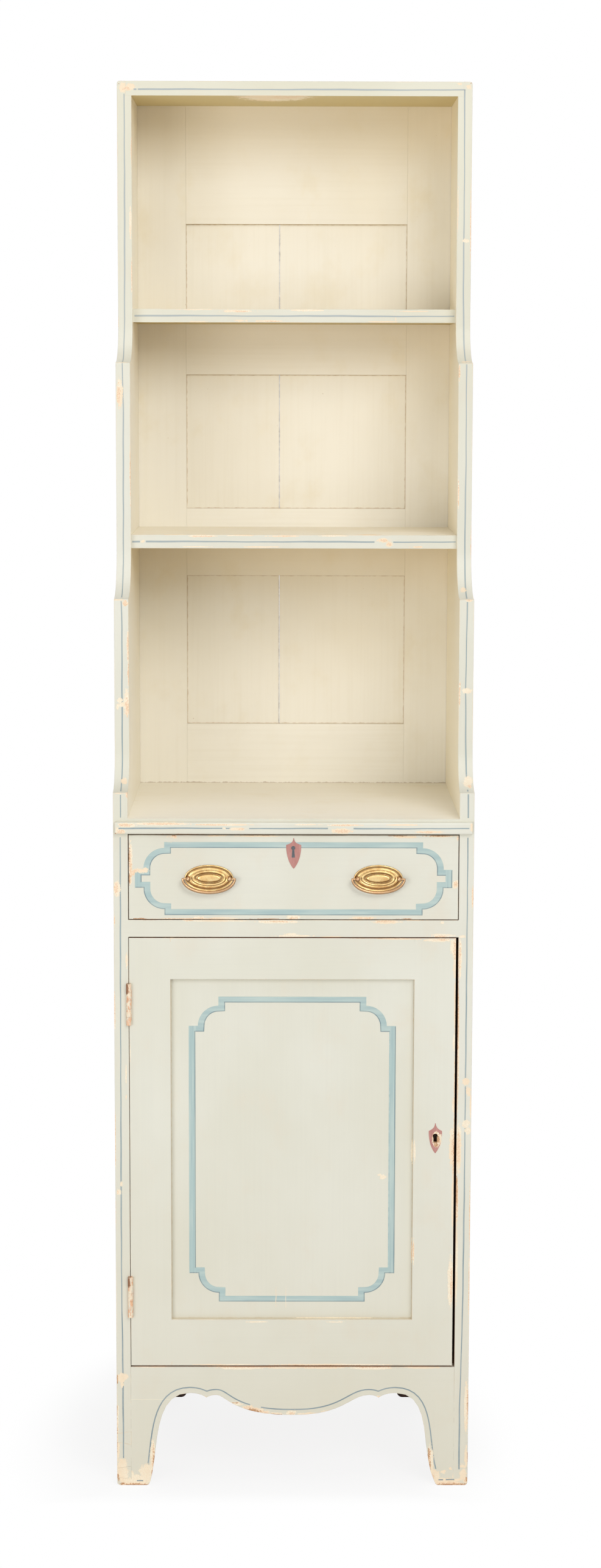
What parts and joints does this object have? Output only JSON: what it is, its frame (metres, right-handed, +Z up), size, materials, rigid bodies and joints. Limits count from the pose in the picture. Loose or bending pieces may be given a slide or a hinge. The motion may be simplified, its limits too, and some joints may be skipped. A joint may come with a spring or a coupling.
{
  "type": "bookcase cabinet",
  "caption": "Tall narrow painted bookcase with open shelves stepping back over a drawer and a panelled cupboard door on bracket feet.",
  "frame": {"origin": "centre of the whole object's footprint, on the floor", "axes": "+Z up the cabinet, -Y out of the front where the drawer and door open, +X to the right seen from the front"},
  "size_m": [0.508, 0.4004, 2.012],
  "materials": {
    "exterior_paint": "pale grey-green paint over cream undercoat, satin, worn at the edges",
    "interior_paint": "cream paint, satin, lightly soiled",
    "bare_softwood": "bare softwood, aged",
    "dark_wood": "bare wood, dark with age",
    "iron": "dull iron",
    "painted_iron": "iron painted over with the case, worn on the barrel",
    "handle_brass": "stamped and cast brass, aged lacquer"
  },
  "bodies": {
    "carcass": {"side_left": "exterior_paint", "side_right": "exterior_paint", "top_board": "exterior_paint", "waist_moulding": "exterior_paint", "drawer_rail": "exterior_paint", "apron": "exterior_paint", "front_foot_left": "exterior_paint", "front_foot_right": "exterior_paint", "shelf_upper": "interior_paint", "shelf_lower": "interior_paint", "waist_board": "interior_paint", "back_stile_left": "interior_paint", "back_stile_right": "interior_paint", "back_rail_top": "interior_paint", "back_rail_upper": "interior_paint", "back_rail_lower": "interior_paint", "back_rail_waist": "interior_paint", "back_rail_bottom": "interior_paint", "back_panel_upper": "interior_paint", "back_panel_middle": "interior_paint", "back_panel_lower": "interior_paint", "back_panel_base": "interior_paint", "drawer_runner_left": "bare_softwood", "drawer_runner_right": "bare_softwood", "drawer_stops": "bare_softwood", "bottom_board": "bare_softwood", "cupboard_shelf": "bare_softwood", "shelf_batten_left": "bare_softwood", "shelf_batten_right": "bare_softwood", "door_stop": "bare_softwood", "glue_blocks": "bare_softwood", "rear_foot_left": "dark_wood", "rear_foot_right": "dark_wood", "back_nails": "iron", "hinge_pins": "iron", "hinge_screws_case": "iron", "hinge_upper_case_leaf": "painted_iron", "hinge_lower_case_leaf": "painted_iron"},
    "door": {"door_stile_hinge": "exterior_paint", "door_stile_lock": "exterior_paint", "door_rail_top": "exterior_paint", "door_rail_bottom": "exterior_paint", "door_panel": "exterior_paint", "hinge_upper_door_leaf": "painted_iron", "hinge_lower_door_leaf": "painted_iron", "hinge_screws_door": "iron", "lock_case": "iron", "lock_screws": "iron"},
    "lock_bolt": {"lock_bolt": "iron"},
    "drawer": {"drawer_front": "exterior_paint", "drawer_side_left": "bare_softwood", "drawer_side_right": "bare_softwood", "drawer_back": "bare_softwood", "drawer_bottom": "bare_softwood", "handle_plates": "handle_brass", "handle_posts": "handle_brass", "handle_nuts": "handle_brass"},
    "bail_left": {"bail_left": "handle_brass"},
    "bail_right": {"bail_right": "handle_brass"}
  },
  "joints": [
    {"name": "drawer_slide", "type": "slide", "parent": "carcass", "child": "drawer", "axis": [0, -1, 0], "range_m": [0, 0.27]},
    {"name": "door_hinge", "type": "hinge", "parent": "carcass", "child": "door", "pos_m": [-0.2331, -0.1906, 0.494], "axis": [0, 0, -1], "range_deg": [0, 170]},
    {"name": "lock_bolt_slide", "type": "slide", "parent": "door", "child": "lock_bolt", "axis": [1, 0, 0], "range_m": [0, 0.008]},
    {"name": "bail_left_hinge", "type": "hinge", "parent": "drawer", "child": "bail_left", "pos_m": [-0.1194, -0.1968, 0.8935], "axis": [-1, 0, 0], "range_deg": [0, 165]},
    {"name": "bail_right_hinge", "type": "hinge", "parent": "drawer", "child": "bail_right", "pos_m": [0.1194, -0.1968, 0.8935], "axis": [-1, 0, 0], "range_deg": [0, 165]}
  ]
}
